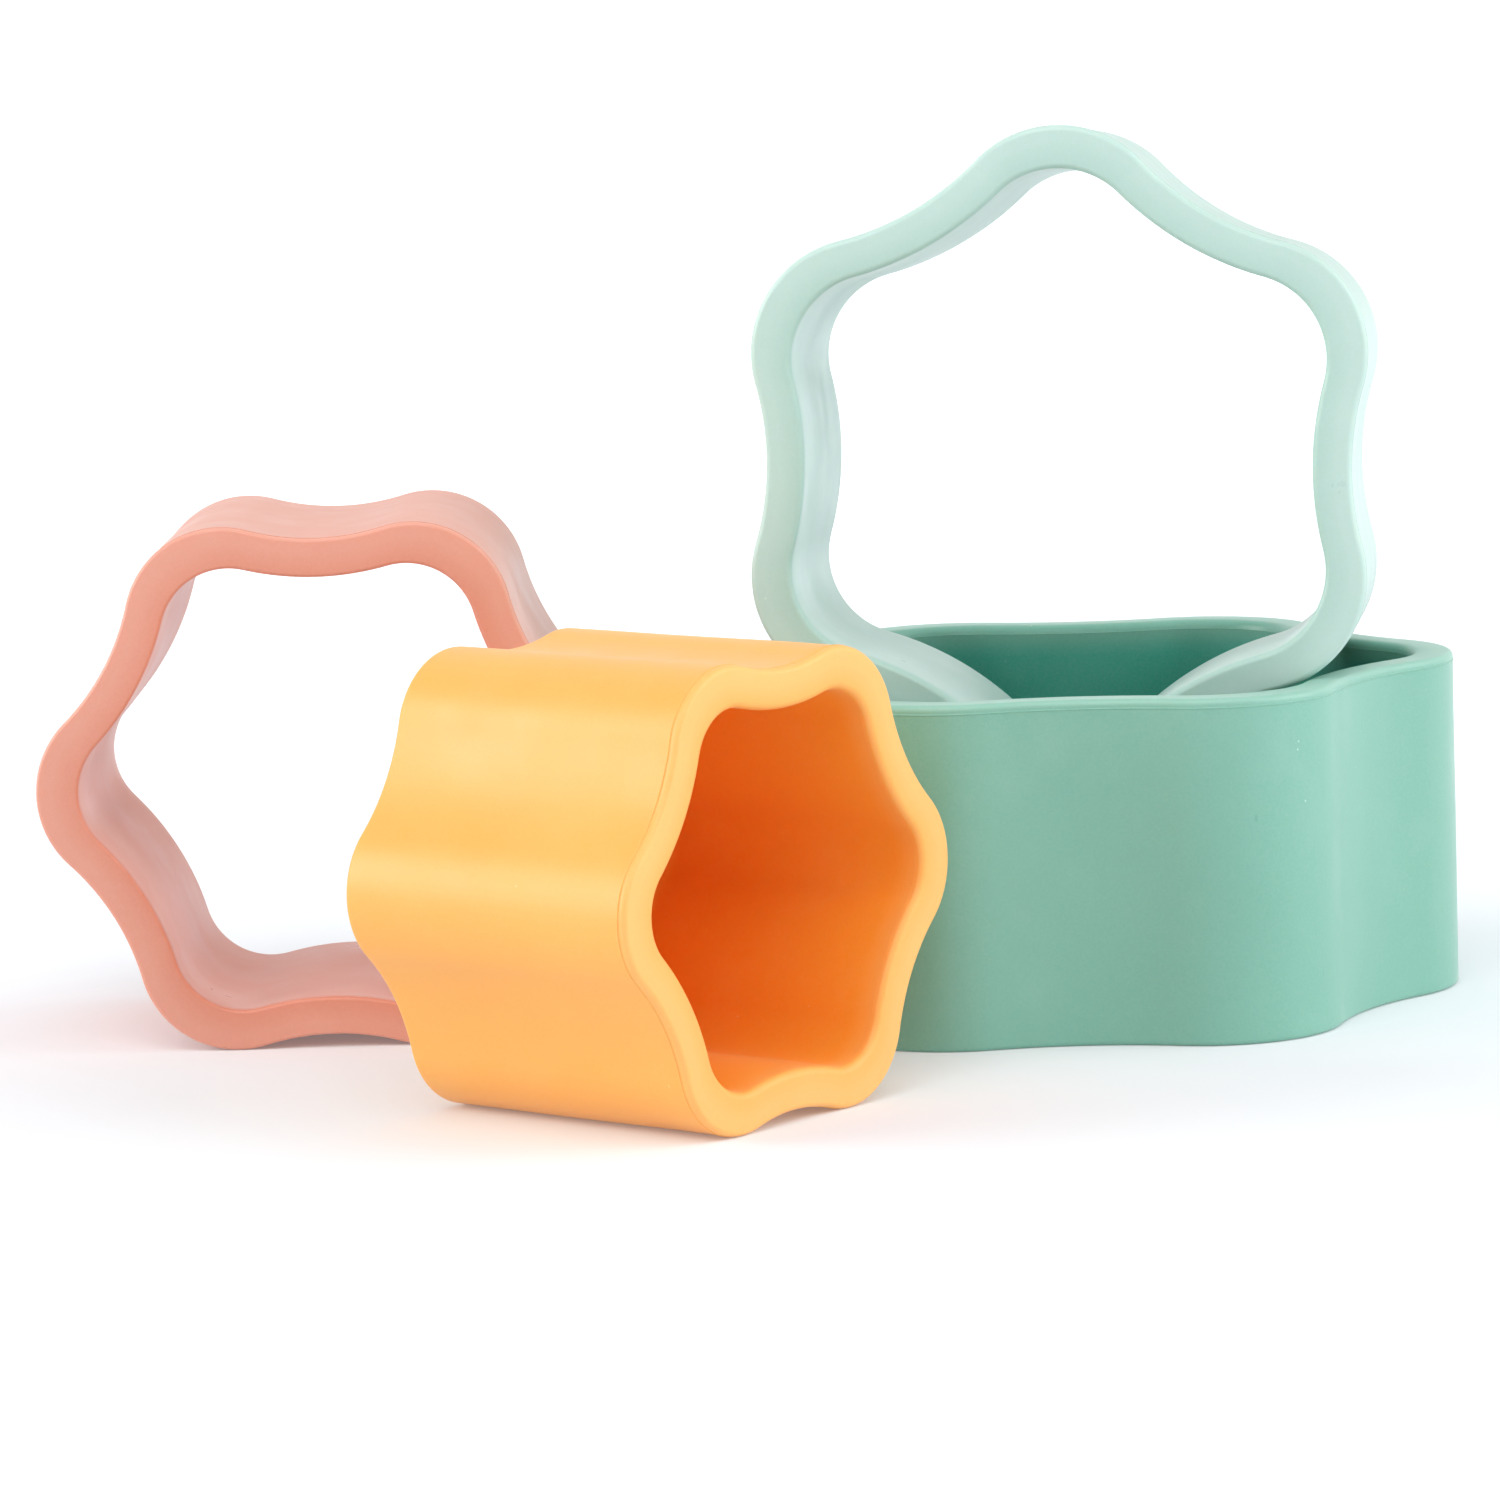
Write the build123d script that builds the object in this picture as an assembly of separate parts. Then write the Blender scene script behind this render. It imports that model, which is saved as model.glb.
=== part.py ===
from build123d import *
import os
from math import cos, pi, radians, sin, sqrt

# Stacking cups: four soft moulded pieces of one height and one six-lobed outline,
# each a step smaller than the last, so that each slips inside the next.
# Millimetres, +Z up. The origin is the middle of the tub's underside, on the table,
# +X is to the right of the group and +Y towards its back.

# ---- the set -------------------------------------------------------------------
LARGEST_RADIUS = 56.0      # centre to the tip of a lobe, on the largest piece
STEP = 7.0                 # how much smaller each next piece is, on that radius
HEIGHT = 50.0              # every piece is equally tall
LOBES = 6

# ---- one outline, scaled to each piece -------------------------------------------
LOBE_ROUNDING = 0.34       # radius of a lobe's outside arc, as a share of the piece's radius
HOLLOW_ROUNDING = 0.85     # radius of the inward arc between two lobes, as the same share
LOBE_WALL = 6.15           # wall thickness at the tip of a lobe
INNER_PULL = 1.95          # how far the inner lobes' arc centres lie inside the outer ones
FLOOR = 4.0                # thickness of a cup's floor
EDGE_ROUNDING = 1.1        # every rim edge

# ---- where the pieces rest ---------------------------------------------------------
TUB_TURN = -2.65           # the tub, about +Z
RING_LEAN = -3.33          # the mint ring leans back in the tub's mouth
RING_TURN = -7.3           # and is turned about +Z
RING_ROLL = -1.3           # and about its own axis
RING_CENTRE = (-0.3, -3.0, 80.2)
PINK_CENTRE = (-110.8, -4.5)
PINK_TURN = -1.0
YELLOW_CENTRE = (-63.4, -82.6)
YELLOW_TURN = 50.5


def polar(radius, degrees):
    """A point at this distance from the middle, at this angle from +X."""
    return Vector(radius * cos(radians(degrees)), radius * sin(radians(degrees)))


def lobed_face(centre_radius, convex, concave):
    """A face bounded by arcs: a convex one round each lobe's centre and, tangent to two
    of them, a concave one between each lobe and the next."""
    half_side = centre_radius * sin(pi / LOBES)
    reach = sqrt((convex + concave) ** 2 - half_side ** 2)
    hollow_centre_radius = centre_radius * cos(pi / LOBES) + reach
    pitch = 360 / LOBES
    arcs = []
    for lobe in range(LOBES):
        angle = lobe * pitch
        lobe_centre = polar(centre_radius, angle)
        hollow_before = polar(hollow_centre_radius, angle - pitch / 2)
        hollow_after = polar(hollow_centre_radius, angle + pitch / 2)
        next_centre = polar(centre_radius, angle + pitch)
        start = lobe_centre + (hollow_before - lobe_centre).normalized() * convex
        end = lobe_centre + (hollow_after - lobe_centre).normalized() * convex
        tip = polar(centre_radius + convex, angle)
        next_start = next_centre + (hollow_after - next_centre).normalized() * convex
        hollow = polar(hollow_centre_radius - concave, angle + pitch / 2)
        arcs.append(ThreePointArc(start, tip, end))
        arcs.append(ThreePointArc(end, hollow, next_start))
    return make_face(Wire(arcs))


def outline_sizes(piece):
    """Lobe centre radius, convex radius and concave radius of piece 0, 1, 2 or 3."""
    radius = LARGEST_RADIUS - STEP * piece
    convex = LOBE_ROUNDING * radius
    return radius - convex, convex, HOLLOW_ROUNDING * radius


def outer_face(piece):
    return lobed_face(*outline_sizes(piece))


def inner_face(piece):
    """The hollow's outline: the wall is thickest at the lobes and a little thinner between."""
    centre_radius, convex, concave = outline_sizes(piece)
    return lobed_face(centre_radius - INNER_PULL, convex - LOBE_WALL + INNER_PULL, concave + LOBE_WALL)


def rounded(solid):
    """Rounds every edge of the flat rims; the joins between wall arcs are already smooth."""
    rims = [edge for edge in solid.edges() if edge.length > 1 and is_rim(edge)]
    return fillet(rims, EDGE_ROUNDING)


def is_rim(edge):
    """True where an edge lies flat in one of the horizontal planes."""
    box = edge.bounding_box()
    return box.size.Z < 0.01


def ring(piece):
    """A wall open at both ends, standing on z = 0 about the Z axis."""
    return rounded(extrude(outer_face(piece) - inner_face(piece), HEIGHT))


def cup(piece):
    """A wall with a floor across its lower end and its mouth at the top."""
    wall = extrude(outer_face(piece), HEIGHT)
    hollow = extrude(inner_face(piece), HEIGHT - FLOOR).moved(Pos(0, 0, FLOOR))
    return rounded(wall - hollow)


def lying_height(piece):
    """Height of the axis of a piece that lies on two neighbouring lobes."""
    centre_radius, convex, _ = outline_sizes(piece)
    return centre_radius * cos(pi / LOBES) + convex


def green_tub():
    return Rot(Z=TUB_TURN) * cup(0)


def mint_ring():
    """Stands on edge in the tub's mouth, one lobe up, wedged on the rim."""
    upright = Rot(X=RING_LEAN) * Rot(X=90) * Rot(Z=90 + RING_ROLL)
    return Pos(*RING_CENTRE) * Rot(Z=RING_TURN) * upright * Pos(0, 0, -HEIGHT / 2) * ring(1)


def pink_ring():
    """Stands on two lobes, its open ends to the front and back."""
    place = Pos(PINK_CENTRE[0], PINK_CENTRE[1], lying_height(2)) * Rot(Z=PINK_TURN)
    return place * Rot(X=90) * Pos(0, 0, -HEIGHT / 2) * ring(2)


def yellow_cup():
    """Lies on two lobes, its mouth towards the front right."""
    place = Pos(YELLOW_CENTRE[0], YELLOW_CENTRE[1], lying_height(3)) * Rot(Z=YELLOW_TURN)
    return place * Rot(X=90) * Pos(0, 0, -HEIGHT / 2) * cup(3)


os.makedirs("parts", exist_ok=True)
pieces = {
    "green_tub": green_tub(),
    "mint_ring": mint_ring(),
    "pink_ring": pink_ring(),
    "yellow_cup": yellow_cup(),
}
for name, shape in pieces.items():
    export_step(shape, f"parts/{name}.step")
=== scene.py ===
import bpy
import numpy as np
from mathutils import Matrix


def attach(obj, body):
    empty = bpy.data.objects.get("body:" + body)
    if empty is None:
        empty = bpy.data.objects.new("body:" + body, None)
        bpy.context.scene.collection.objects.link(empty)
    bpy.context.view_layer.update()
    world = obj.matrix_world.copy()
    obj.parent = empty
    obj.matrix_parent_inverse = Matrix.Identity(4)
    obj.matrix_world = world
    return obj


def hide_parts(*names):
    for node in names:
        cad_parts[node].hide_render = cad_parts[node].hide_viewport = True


# Four soft moulded stacking pieces with one wavy six-lobed outline: a green tub, a mint ring
# standing in its mouth, a pink ring standing on edge and a yellow cup lying on its side.
# Sizes are in millimetres up to the meshes, which are in metres; materials and the floor are
# in metres too. +X is to the right, +Y back.

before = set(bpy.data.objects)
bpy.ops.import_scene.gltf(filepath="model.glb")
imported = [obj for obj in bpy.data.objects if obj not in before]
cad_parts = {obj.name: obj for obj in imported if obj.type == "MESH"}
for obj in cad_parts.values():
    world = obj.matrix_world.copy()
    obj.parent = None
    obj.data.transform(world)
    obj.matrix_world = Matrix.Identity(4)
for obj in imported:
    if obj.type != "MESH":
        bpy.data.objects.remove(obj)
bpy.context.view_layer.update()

# ---- the family of pieces ------------------------------------------------------------
MM = 0.001
LOBES = 6
LARGEST_RADIUS = 56.0
STEP = 7.0
HEIGHT = 50.0
LOBE_ROUNDING = 0.34       # a lobe's arc, as a share of the piece's radius
HOLLOW_ROUNDING = 0.85     # the inward arc between two lobes, as the same share
LOBE_WALL = 6.15           # wall at the tip of a lobe
INNER_PULL = 1.95          # the inner lobes' arc centres lie this far inside the outer ones
CUP_FLOOR = 4.0            # thickness of a cup's floor

LOBE_COLUMNS = 34          # mesh columns on a lobe's arc
HOLLOW_COLUMNS = 22        # and on the inward arc that follows it
WALL_ROWS = 26             # mesh rows up a wall

LIP = 1.3                  # the mould's parting line lies this far below the rim
LINE_HEIGHT = 0.12         # and stands this proud of the wall outside
INSIDE_LINE_HEIGHT = 0.03  # and this proud inside
LINE_HALF_WIDTH = 0.14
CROWN = 0.03               # a rim's flat rises this much in its middle
BASE_ROUND = 0.7           # edge of a closed end
INSIDE_ROUND = 2.2         # where a cup's wall meets its floor
MOUTH_BAND = 1.5           # the painted shade inside (painted light in the mint ring) starts this far below the rim
MOUTH_FADE = 3.0           # over this height

# ---- where the pieces rest ---------------------------------------------------------------
TUB_TURN = -2.65
MINT_CENTRE = (-0.3, -3.0, 80.2)
MINT_TURN, MINT_LEAN, MINT_ROLL = -7.3, -3.33, -1.3
PINK_CENTRE = (-110.8, -4.5)
PINK_TURN = -1.0
YELLOW_CENTRE = (-63.4, -82.6)
YELLOW_TURN = 50.5


# ---- outline ---------------------------------------------------------------------------
def arc(centre, radius, start, stop, count):
    """Points centre + radius * (cos a, sin a) for count angles a from start up to, but not
    with, stop, and the unit vectors (cos a, sin a)."""
    a = start + (stop - start) * np.arange(count) / count
    away = np.stack([np.cos(a), np.sin(a)], axis=1)
    return centre + radius * away, away


def lobed_outline(centre_radius, convex, concave):
    """Closed outline of tangent arcs, anticlockwise. A lobe's arc has its centre at the
    centre radius; the inward arc between two lobes has its centre outside, at the distance
    convex + concave from both lobe centres. Returns the points and their outward normals."""
    half_pitch = np.pi / LOBES
    reach = np.sqrt((convex + concave) ** 2 - (centre_radius * np.sin(half_pitch)) ** 2)
    outside = centre_radius * np.cos(half_pitch) + reach
    lean = np.arctan2(outside * np.sin(half_pitch), outside * np.cos(half_pitch) - centre_radius)
    bend = lean - half_pitch
    points, normals = [], []
    for lobe in range(LOBES):
        turn = 2 * half_pitch * lobe
        between = turn + half_pitch
        lobe_centre = centre_radius * np.array([np.cos(turn), np.sin(turn)])
        hollow_centre = outside * np.array([np.cos(between), np.sin(between)])
        xy, away = arc(lobe_centre, convex, turn - lean, turn + lean, LOBE_COLUMNS)
        points.append(xy)
        normals.append(away)
        back = between + np.pi
        xy, away = arc(hollow_centre, concave, back + bend, back - bend, HOLLOW_COLUMNS)
        points.append(xy)
        normals.append(-away)
    return np.concatenate(points), np.concatenate(normals)


# ---- cross-section of the wall -----------------------------------------------------------
def rows(across, inset, height, shrink=1.0):
    """Rows of the cross-section as an array of four columns: the share of the way across the
    wall from its outside (0) to its inside (1), how far into the wall, how high, and the
    scale towards the axis (1 on the wall, 0 at the middle of a floor)."""
    parts = np.broadcast_arrays(*[np.asarray(v, float) for v in (across, inset, height, shrink)])
    return np.stack([np.atleast_1d(p) for p in parts], axis=1)


def quarter(radius, count=7):
    """Inset and drop of a quarter circle: radius * (1 - cos a) and radius * (1 - sin a) for
    angles a from 0, on the wall, to a right angle, on the flat."""
    a = np.linspace(0, np.pi / 2, count)
    return radius * (1 - np.cos(a)), radius * (1 - np.sin(a))


def parting_line(across, rim, proud):
    """The mould's fine raised line round the wall below the rim: its height is a cosine
    bell across its width, and the lip above it stands a hair behind the wall."""
    s = np.linspace(-1, 1, 9)
    inset = 0.4 * proud * 0.5 * (1 + np.tanh(4 * s)) - proud * 0.5 * (1 + np.cos(np.pi * s))
    return rows(across, inset, rim - LIP + LINE_HALF_WIDTH * s)


def wall_heights(low, high):
    """Heights up a wall, closer together near both ends."""
    s = np.linspace(0, 1, WALL_ROWS)
    return low + (high - low) * (0.5 - 0.5 * np.cos(np.pi * s)) ** 0.85


def rim_crossing(height, crown, rim_round, mouth_round):
    """Across a rim from its outside to its inside: it rises by crown in the middle, as
    4 * crown * t * (1 - t)."""
    t = np.linspace(0, 1, 11)[1:-1]
    return rows(t, rim_round + (mouth_round - rim_round) * t, height + 4 * crown * t * (1 - t))


def lip_side(across, rim, radius, proud):
    """Up one side of a rim, from the wall over the parting line to the rounded edge."""
    inset, drop = quarter(radius, 9)
    edge = rows(across, inset, rim - drop)
    line = parting_line(across, rim, proud)
    line[:, 1] += np.interp(line[:, 2], edge[:, 2], edge[:, 1])
    return np.concatenate([line, edge[edge[:, 2] > line[-1, 2] + 0.05]])


def ring_section(rim_round, mouth_round):
    """Cross-section of an open ring, a closed loop: up the outside, across the rim, down
    the inside and back under the lower rim, which has no parting line. The rounding of the
    rim's outer edge is rim_round and of its inner edge mouth_round."""
    low_inset, low_drop = quarter(rim_round)
    top = HEIGHT - LIP - LINE_HALF_WIDTH
    mouth = HEIGHT - max(mouth_round, LIP + LINE_HALF_WIDTH)
    return np.concatenate([
        rows(0, low_inset[::-1], low_drop[::-1])[:-1],
        rows(0, 0, wall_heights(rim_round, top))[:-1],
        lip_side(0, HEIGHT, rim_round, LINE_HEIGHT),
        rim_crossing(HEIGHT, CROWN, rim_round, mouth_round),
        lip_side(1, HEIGHT, mouth_round, INSIDE_LINE_HEIGHT)[::-1],
        rows(1, 0, wall_heights(rim_round, mouth)[::-1])[1:],
        rows(1, low_inset, low_drop)[1:],
        rim_crossing(0.0, -CROWN, rim_round, rim_round)[::-1],
    ])


def cup_section(rim_round, mouth_round):
    """Cross-section of a cup, from the middle of its underside, out and up the outside,
    across the rim, down the inside and in to the middle of its floor."""
    low_inset, low_drop = quarter(BASE_ROUND)
    top = HEIGHT - LIP - LINE_HALF_WIDTH
    mouth = HEIGHT - max(mouth_round, LIP + LINE_HALF_WIDTH)
    turn_in, turn_drop = quarter(INSIDE_ROUND, 9)
    spread = np.linspace(0, 1, 16)
    return np.concatenate([
        rows(0, BASE_ROUND, 0.0, spread[:-1] ** 0.8),
        rows(0, low_inset[::-1], low_drop[::-1])[:-1],
        rows(0, 0, wall_heights(BASE_ROUND, top))[:-1],
        lip_side(0, HEIGHT, rim_round, LINE_HEIGHT),
        rim_crossing(HEIGHT, CROWN, rim_round, mouth_round),
        lip_side(1, HEIGHT, mouth_round, INSIDE_LINE_HEIGHT)[::-1],
        rows(1, 0, wall_heights(CUP_FLOOR + INSIDE_ROUND, mouth)[::-1])[1:],
        rows(1, -turn_in, CUP_FLOOR + turn_drop)[1:],
        rows(1, -INSIDE_ROUND, CUP_FLOOR, spread[::-1][1:] ** 0.8),
    ])


# ---- a piece -------------------------------------------------------------------------------
def piece_mesh(name, number, section, place, uneven):
    """Carries the cross-section round the outline. A point is shrink * ((1 - t) * outer
    + t * inner), with outer and inner the two outlines moved into the wall by the inset, and
    the height is the section's. Soft mouldings are never quite true: each wall point then
    moves along its normal by uneven * a sum of three slow waves round and up the wall, which
    fades out towards both ends.
    Two marks go with the points: one is 1 at the outer edge of the rim, where a painted rim light
    goes, and the other grows from 0 at the mouth to 1 a few millimetres down the inside, where
    painted shade goes (painted light in the mint ring)."""
    radius = LARGEST_RADIUS - STEP * number
    convex, concave = LOBE_ROUNDING * radius, HOLLOW_ROUNDING * radius
    centre_radius = radius - convex
    outer, outer_out = lobed_outline(centre_radius, convex, concave)
    inner, inner_out = lobed_outline(
        centre_radius - INNER_PULL, convex - LOBE_WALL + INNER_PULL, concave + LOBE_WALL)
    t, inset, height, shrink = [column[:, None] for column in section.T]
    turn = np.arctan2(outer[:, 1], outer[:, 0])[None, :]
    up = height / HEIGHT
    fade = np.clip(np.minimum(up, 1 - up) * 6, 0, 1)
    wave = (np.sin(5 * turn + 4 * up + number) + np.sin(3 * turn - 5 * up + 2.1 * number)
            + 0.7 * np.sin(11 * turn + 9 * up + 3.3 * number)) / 2.7
    inset = inset + uneven * fade * wave
    xy = []
    for axis in (0, 1):
        outside = outer[None, :, axis] - inset * outer_out[None, :, axis]
        inside = inner[None, :, axis] + inset * inner_out[None, :, axis]
        xy.append(shrink * ((1 - t) * outside + t * inside))
    grid = np.stack([xy[0], xy[1], np.broadcast_to(height, xy[0].shape)], axis=2)
    count, columns = grid.shape[:2]
    here = np.arange(columns)
    after = (here + 1) % columns
    closed = shrink[0, 0] > 0
    last = count if closed else count - 1
    low = np.arange(last)[:, None] * columns
    high = (np.arange(last)[:, None] + 1) % count * columns
    quads = np.stack([low + here, low + after, high + after, high + here], axis=2).reshape(-1, 4)
    points = grid.reshape(-1, 3)
    # painted light: the band along the rim's outer edge is marked to be painted paler
    near_rim = np.clip((height - HEIGHT + LIP + 0.1) / (0.8 * LIP), 0, 1)
    marks = {"painted_rim_light": near_rim * np.clip((1 - t) / 0.7, 0, 1),
             # painted shade down the inside, from the mouth inwards (painted light in the mint
             # ring)
             "painted_hollow_light_and_shade": t * np.clip((HEIGHT - MOUTH_BAND - height) / MOUTH_FADE, 0, 1)}
    mesh = bpy.data.meshes.new(name)
    if closed:
        faces = quads.tolist()
    else:
        points, faces = close_poles(points, quads, count, columns)
    matrix = np.array(place)
    points = (points * MM) @ matrix[:3, :3].T + matrix[:3, 3]
    mesh.from_pydata(points, [], faces)
    mesh.polygons.foreach_set("use_smooth", np.ones(len(mesh.polygons), bool))
    for label, mark in marks.items():
        values = np.repeat(mark.ravel(), columns)
        if not closed:
            values = np.concatenate([values[:1], values[columns:1 - columns]])
        mesh.attributes.new(label, "FLOAT", "POINT").data.foreach_set("value", values)
    mesh.update()
    piece = bpy.data.objects.new(name, mesh)
    bpy.context.scene.collection.objects.link(piece)
    return piece


def close_poles(points, quads, count, columns):
    """The first and last rows of a cup lie on its axis: each becomes one point, and the
    quads that touch it become triangles."""
    first, final = 0, (count - 1) * columns
    body = points[columns:final]
    points = np.concatenate([points[:1], body, points[final:final + 1]])
    number = np.arange(count * columns) - columns + 1
    number[:columns] = 0
    number[final:] = len(points) - 1
    quads = number[quads]
    under, over = quads[:columns], quads[-columns:]
    middle = quads[columns:-columns]
    faces = under[:, [0, 2, 3]].tolist() + middle.tolist() + over[:, [0, 1, 2]].tolist()
    return points, faces


def turned(axis, degrees):
    return Matrix.Rotation(np.radians(degrees), 4, axis)


def moved(x, y, z):
    return Matrix.Translation((x * MM, y * MM, z * MM))


def lying_height(number):
    """Height of the axis of a piece lying on two neighbouring lobes."""
    radius = LARGEST_RADIUS - STEP * number
    return radius * ((1 - LOBE_ROUNDING) * np.cos(np.pi / LOBES) + LOBE_ROUNDING)


# ---- silicone ------------------------------------------------------------------------------
def silicone(name, colour, deep, inside, pale, nick, roughness, dust, seed):
    """Moulded silicone: a slow colour drift between the colour and its deeper tone, painted
    shade down the inside (painted light in the mint ring), a painted rim light along the rim's
    outer edge, a fine matte grain, cloudy rubbed patches, pale dust specks and a few small dark
    nicks."""
    material = bpy.data.materials.new(name)
    material.use_nodes = True
    tree = material.node_tree
    tree.nodes.clear()

    def node(kind, **settings):
        made = tree.nodes.new(kind)
        for key, value in settings.items():
            setattr(made, key, value)
        return made

    def link(source, target):
        tree.links.new(source, target)

    def spots(scale, size, keep, offset, long=1.0):
        """1 inside a small ball round some of the cells' points, fading at its edge; the
        ball is drawn out in height by the factor long."""
        shift = node("ShaderNodeMapping")
        shift.inputs["Location"].default_value = (offset + seed, 0.31 * seed, offset)
        shift.inputs["Scale"].default_value = (1.0, 1.0, 1.0 / long)
        link(where.outputs["Object"], shift.inputs["Vector"])
        cells = node("ShaderNodeTexVoronoi", voronoi_dimensions="3D", feature="F1")
        cells.inputs["Scale"].default_value = scale
        link(shift.outputs["Vector"], cells.inputs["Vector"])
        near = node("ShaderNodeMapRange", interpolation_type="SMOOTHSTEP")
        near.inputs["From Min"].default_value = size * scale
        near.inputs["From Max"].default_value = 0.45 * size * scale
        link(cells.outputs["Distance"], near.inputs["Value"])
        pick = node("ShaderNodeSeparateColor")
        link(cells.outputs["Color"], pick.inputs["Color"])
        chosen = node("ShaderNodeMath", operation="LESS_THAN")
        chosen.inputs[1].default_value = keep
        link(pick.outputs["Red"], chosen.inputs[0])
        both = node("ShaderNodeMath", operation="MULTIPLY")
        link(near.outputs["Result"], both.inputs[0])
        link(chosen.outputs["Value"], both.inputs[1])
        return both.outputs["Value"]

    def noise(scale, detail, rough=0.5):
        made = node("ShaderNodeTexNoise")
        made.inputs["Scale"].default_value = scale
        made.inputs["Detail"].default_value = detail
        made.inputs["Roughness"].default_value = rough
        link(where.outputs["Object"], made.inputs["Vector"])
        return made.outputs["Fac"]

    def mix(factor, first, second, amount=1.0):
        made = node("ShaderNodeMix", data_type="RGBA")
        if amount != 1.0:
            scaled = node("ShaderNodeMath", operation="MULTIPLY")
            scaled.inputs[1].default_value = amount
            link(factor, scaled.inputs[0])
            factor = scaled.outputs["Value"]
        link(factor, made.inputs["Factor"])
        for socket, value in ((made.inputs[6], first), (made.inputs[7], second)):
            if isinstance(value, tuple):
                socket.default_value = (*value, 1.0)
            else:
                link(value, socket)
        return made.outputs[2]

    def ranged(value, low, high, to_low, to_high):
        made = node("ShaderNodeMapRange")
        made.inputs["From Min"].default_value = low
        made.inputs["From Max"].default_value = high
        made.inputs["To Min"].default_value = to_low
        made.inputs["To Max"].default_value = to_high
        link(value, made.inputs["Value"])
        return made.outputs["Result"]

    where = node("ShaderNodeTexCoord")
    drift = ranged(noise(38.0, 3.0), 0.3, 0.7, 0.0, 1.0)
    grain = noise(2600.0, 2.0, 0.6)
    cloud = noise(85.0, 4.0, 0.6)
    base = mix(drift, colour, deep, 0.6)
    # painted shade down the inside: the inside colour is deeper; the mint's inside colour is
    # lighter, painted light
    painted_hollow_light_and_shade = node("ShaderNodeAttribute", attribute_name="painted_hollow_light_and_shade")
    base = mix(painted_hollow_light_and_shade.outputs["Fac"], base, inside)
    # painted rim light: the rim's outer edge is painted paler
    edge = node("ShaderNodeAttribute", attribute_name="painted_rim_light")
    base = mix(edge.outputs["Fac"], base, pale, 0.16)
    base = mix(ranged(grain, 0.3, 0.7, 0.0, 1.0), base, pale, 0.06)
    base = mix(spots(scale=210.0, size=0.00022, keep=0.3, offset=0.7), base, pale, dust)
    base = mix(ranged(cloud, 0.5, 0.75, 0.0, 1.0), base, pale, 0.05)
    base = mix(spots(scale=150.0, size=0.0002, keep=0.25, offset=0.2, long=4.0), base, nick, 0.5)

    shader = node("ShaderNodeBsdfPrincipled")
    shader.inputs["IOR"].default_value = 1.5
    shader.inputs["Sheen Weight"].default_value = 0.1
    shader.inputs["Sheen Roughness"].default_value = 0.35
    shader.inputs["Subsurface Weight"].default_value = 0.2
    shader.inputs["Subsurface Radius"].default_value = (1.0, 0.6, 0.4)
    shader.inputs["Subsurface Scale"].default_value = 0.002
    link(base, shader.inputs["Base Color"])
    link(ranged(cloud, 0.25, 0.75, roughness - 0.07, roughness + 0.09), shader.inputs["Roughness"])
    bump = node("ShaderNodeBump")
    bump.inputs["Strength"].default_value = 0.22
    bump.inputs["Distance"].default_value = 0.00004
    link(grain, bump.inputs["Height"])
    link(bump.outputs["Normal"], shader.inputs["Normal"])
    output = node("ShaderNodeOutputMaterial")
    link(shader.outputs["BSDF"], output.inputs["Surface"])
    return material


# inside: each piece's colour painted down its inside as shade; the mint's is lighter, painted light
green = silicone(
    "green silicone", colour=(0.20, 0.455, 0.36), deep=(0.18, 0.43, 0.335),
    inside=(0.06, 0.375, 0.285), pale=(0.60, 0.78, 0.71), nick=(0.06, 0.20, 0.15),
    roughness=0.34, dust=0.6, seed=1)
mint = silicone(
    "mint silicone", colour=(0.42, 0.605, 0.545), deep=(0.40, 0.59, 0.53),
    inside=(0.46, 0.645, 0.59), pale=(0.80, 0.90, 0.87), nick=(0.25, 0.40, 0.36),
    roughness=0.34, dust=0.4, seed=2)
pink = silicone(
    "pink silicone", colour=(0.69, 0.275, 0.19), deep=(0.67, 0.255, 0.17),
    inside=(0.69, 0.27, 0.185), pale=(0.90, 0.62, 0.53), nick=(0.40, 0.13, 0.09),
    roughness=0.34, dust=0.4, seed=3)
yellow = silicone(
    "yellow silicone", colour=(0.90, 0.42, 0.085), deep=(0.89, 0.395, 0.075),
    inside=(0.90, 0.345, 0.03), pale=(0.97, 0.72, 0.35), nick=(0.45, 0.15, 0.03),
    roughness=0.42, dust=0.4, seed=4)

# ---- the four pieces where they rest -----------------------------------------------------
laid = turned("X", 90) @ moved(0, 0, -HEIGHT / 2)
tub_place = turned("Z", TUB_TURN)
upright = turned("X", MINT_LEAN) @ turned("X", 90) @ turned("Z", 90 + MINT_ROLL)
mint_place = moved(*MINT_CENTRE) @ turned("Z", MINT_TURN) @ upright @ moved(0, 0, -HEIGHT / 2)
pink_place = moved(*PINK_CENTRE, lying_height(2)) @ turned("Z", PINK_TURN) @ laid
yellow_place = moved(*YELLOW_CENTRE, lying_height(3)) @ turned("Z", YELLOW_TURN) @ laid

for name, node_name, number, section, place, uneven, material, slot in (
    ("tub", "green_tub", 0, cup_section(0.9, 1.4), tub_place, 0.10, green, "green_silicone"),
    ("large_ring", "mint_ring", 1, ring_section(0.8, 0.9), mint_place, 0.06, mint, "mint_silicone"),
    ("small_ring", "pink_ring", 2, ring_section(0.5, 0.6), pink_place, 0.10, pink, "pink_silicone"),
    ("small_cup", "yellow_cup", 3, cup_section(0.8, 1.1), yellow_place, 0.10, yellow,
     "yellow_silicone"),
):
    piece = piece_mesh(name, number, section, place, uneven)
    piece.data.materials.append(material)
    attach(piece, node_name)
    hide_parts(node_name)


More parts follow.
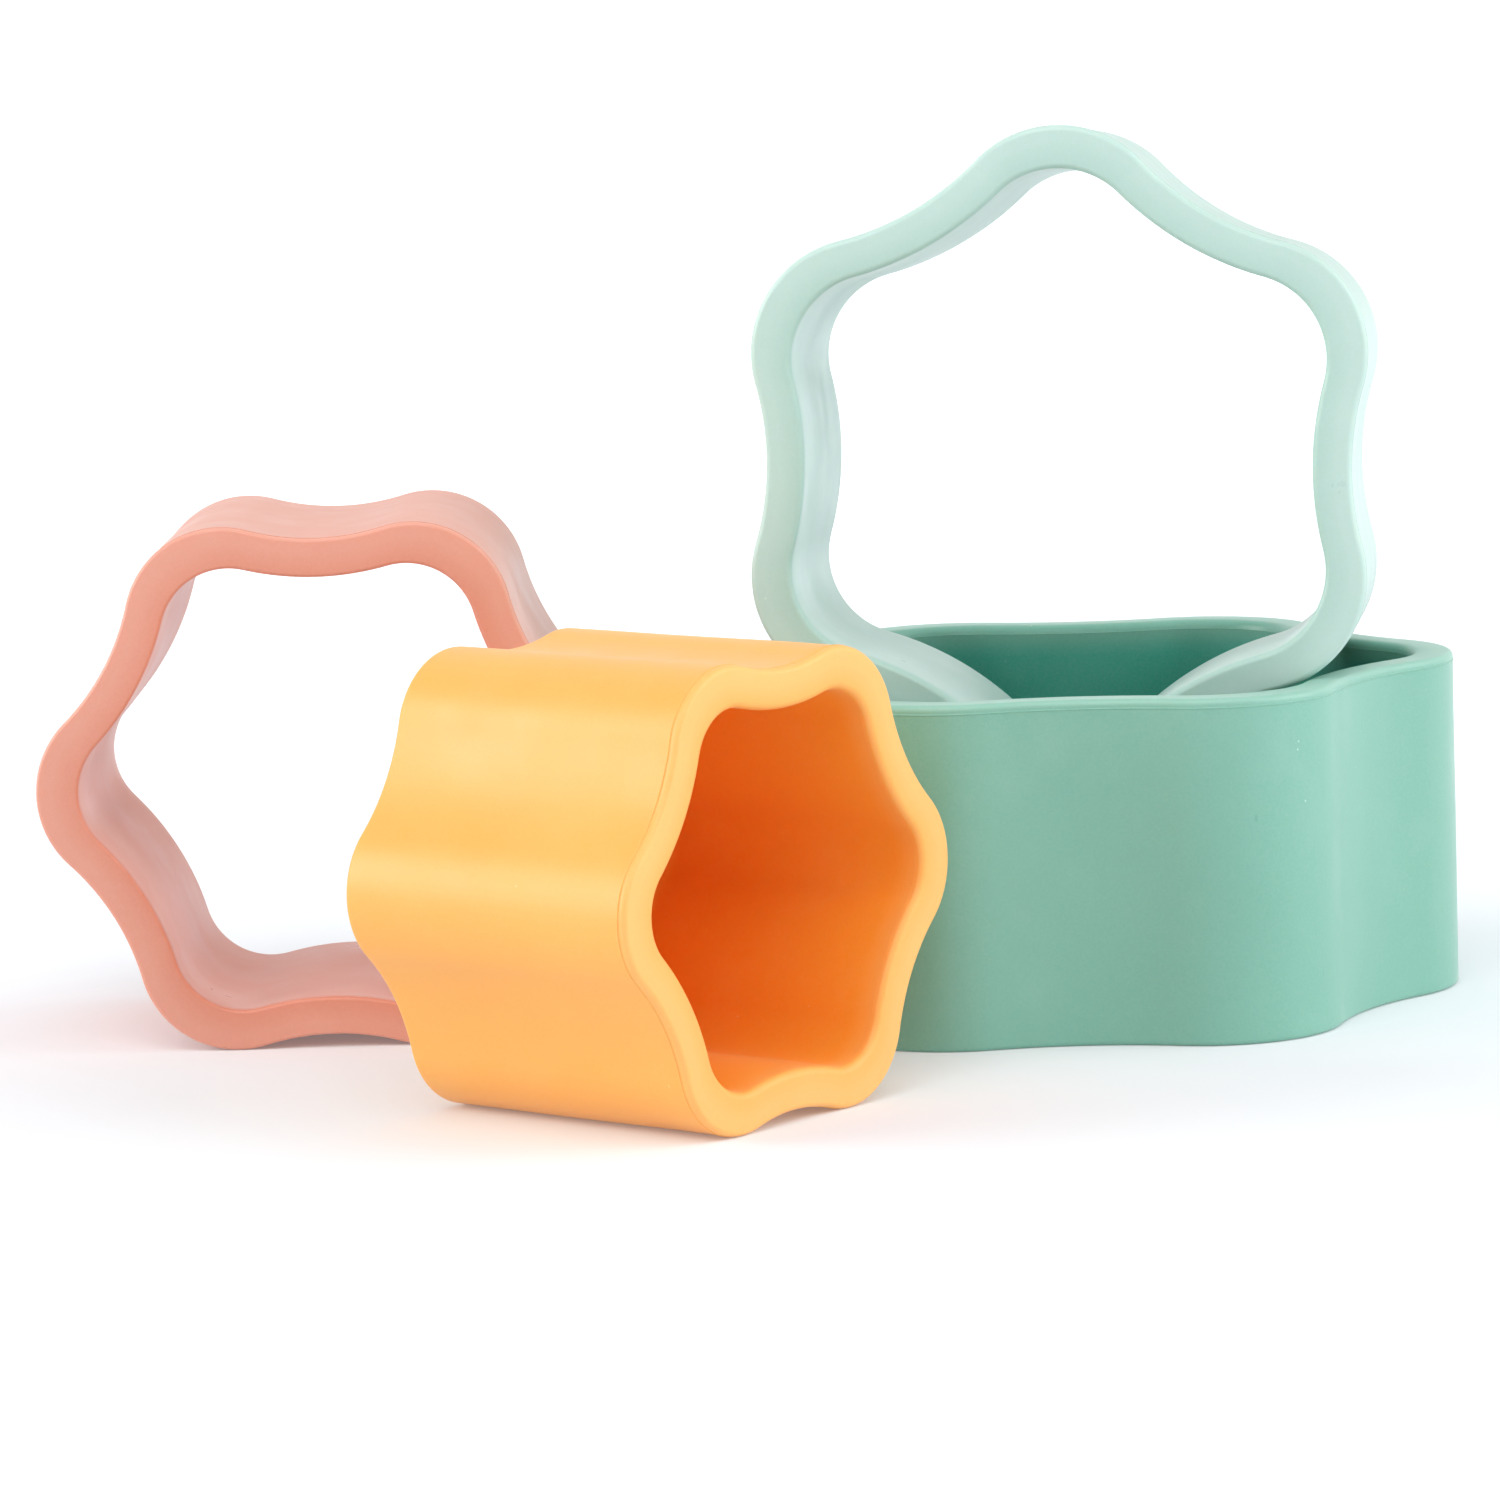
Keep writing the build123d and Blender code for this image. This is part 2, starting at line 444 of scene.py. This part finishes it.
# ---- floor, light and camera -----------------------------------------------------------------
def floor_material():
    """Plain cool white sweep: matte, and brighter by its own light further from the
    pieces."""
    material = bpy.data.materials.new("white floor")
    material.use_nodes = True
    tree = material.node_tree
    shader = tree.nodes["Principled BSDF"]
    shader.inputs["Base Color"].default_value = (0.72, 0.75, 0.785, 1.0)
    shader.inputs["Roughness"].default_value = 1.0
    shader.inputs["Specular IOR Level"].default_value = 0.0
    shader.inputs["Emission Color"].default_value = (1.0, 1.0, 1.0, 1.0)
    where = tree.nodes.new("ShaderNodeTexCoord")
    length = tree.nodes.new("ShaderNodeVectorMath")
    length.operation = "LENGTH"
    glow = tree.nodes.new("ShaderNodeMapRange")
    glow.interpolation_type = "SMOOTHSTEP"
    glow.inputs["From Min"].default_value = 0.12
    glow.inputs["From Max"].default_value = 0.75
    glow.inputs["To Min"].default_value = 0.13
    glow.inputs["To Max"].default_value = 0.42
    tree.links.new(where.outputs["Object"], length.inputs[0])
    tree.links.new(length.outputs["Value"], glow.inputs["Value"])
    tree.links.new(glow.outputs["Result"], shader.inputs["Emission Strength"])
    return material


FLOOR_REACH = 20.0         # metres to each side
FLOOR_HEIGHT = -0.00005    # a hair under the pieces
mesh = bpy.data.meshes.new("floor")
corners = np.array([[-1, -1], [1, -1], [1, 1], [-1, 1]]) * FLOOR_REACH
mesh.from_pydata(np.column_stack([corners, np.full(4, FLOOR_HEIGHT)]), [], [(0, 1, 2, 3)])
floor = bpy.data.objects.new("floor", mesh)
bpy.context.scene.collection.objects.link(floor)
mesh.materials.append(floor_material())


def sun(name, strength, spread, tilt, turn):
    """A broad soft light: tilted from straight above by tilt, then turned about +Z. The
    angles are in degrees, and spread is how wide the light looks from the pieces."""
    light = bpy.data.lights.new(name, "SUN")
    light.energy = strength
    light.angle = np.radians(spread)
    lamp = bpy.data.objects.new(name, light)
    lamp.matrix_world = turned("Z", turn) @ turned("X", tilt)
    bpy.context.scene.collection.objects.link(lamp)


sun("overhead softbox", strength=0.4, spread=60, tilt=10, turn=0)
sun("left softbox", strength=1.55, spread=35, tilt=69.5, turn=-84)
sun("right softbox", strength=1.9, spread=60, tilt=66.5, turn=77.5)
sun("front softbox", strength=1.17, spread=50, tilt=42, turn=-12)


def studio_world():
    """White studio as the pieces see it: its brightness is a base, plus smooth steps that
    rise to the back and to both sides, so the side with the camera is darkest."""
    world = bpy.data.worlds.new("white studio")
    bpy.context.scene.world = world
    world.use_nodes = True
    tree = world.node_tree
    background = tree.nodes["Background"]
    background.inputs["Color"].default_value = (1.0, 1.0, 1.0, 1.0)
    way = tree.nodes.new("ShaderNodeTexCoord")
    split = tree.nodes.new("ShaderNodeSeparateXYZ")
    tree.links.new(way.outputs["Generated"], split.inputs["Vector"])
    side = tree.nodes.new("ShaderNodeMath")
    side.operation = "ABSOLUTE"
    tree.links.new(split.outputs["X"], side.inputs[0])
    total = None
    for source, low, high, base, rise in (
        (split.outputs["Y"], -0.1, 0.85, 0.26, 0.68),
        (side.outputs["Value"], 0.5, 0.95, 0.0, 0.30),
    ):
        step = tree.nodes.new("ShaderNodeMapRange")
        step.interpolation_type = "SMOOTHSTEP"
        step.inputs["From Min"].default_value = low
        step.inputs["From Max"].default_value = high
        step.inputs["To Min"].default_value = base
        step.inputs["To Max"].default_value = base + rise
        tree.links.new(source, step.inputs["Value"])
        if total is None:
            total = step.outputs["Result"]
            continue
        add = tree.nodes.new("ShaderNodeMath")
        tree.links.new(total, add.inputs[0])
        tree.links.new(step.outputs["Result"], add.inputs[1])
        total = add.outputs["Value"]
    tree.links.new(total, background.inputs["Strength"])


studio_world()

camera = bpy.data.cameras.new("camera")
camera.sensor_width = 36.0
camera.lens = 160.6
eye = bpy.data.objects.new("camera", camera)
eye.matrix_world = moved(-49.2, -992.5, 172.2) @ turned("X", 82.29) @ turned("Z", -1.86)
bpy.context.scene.collection.objects.link(eye)
bpy.context.scene.camera = eye

bpy.context.scene.view_settings.view_transform = "Standard"
bpy.context.scene.cycles.diffuse_bounces = 8

bpy.context.view_layer.update()
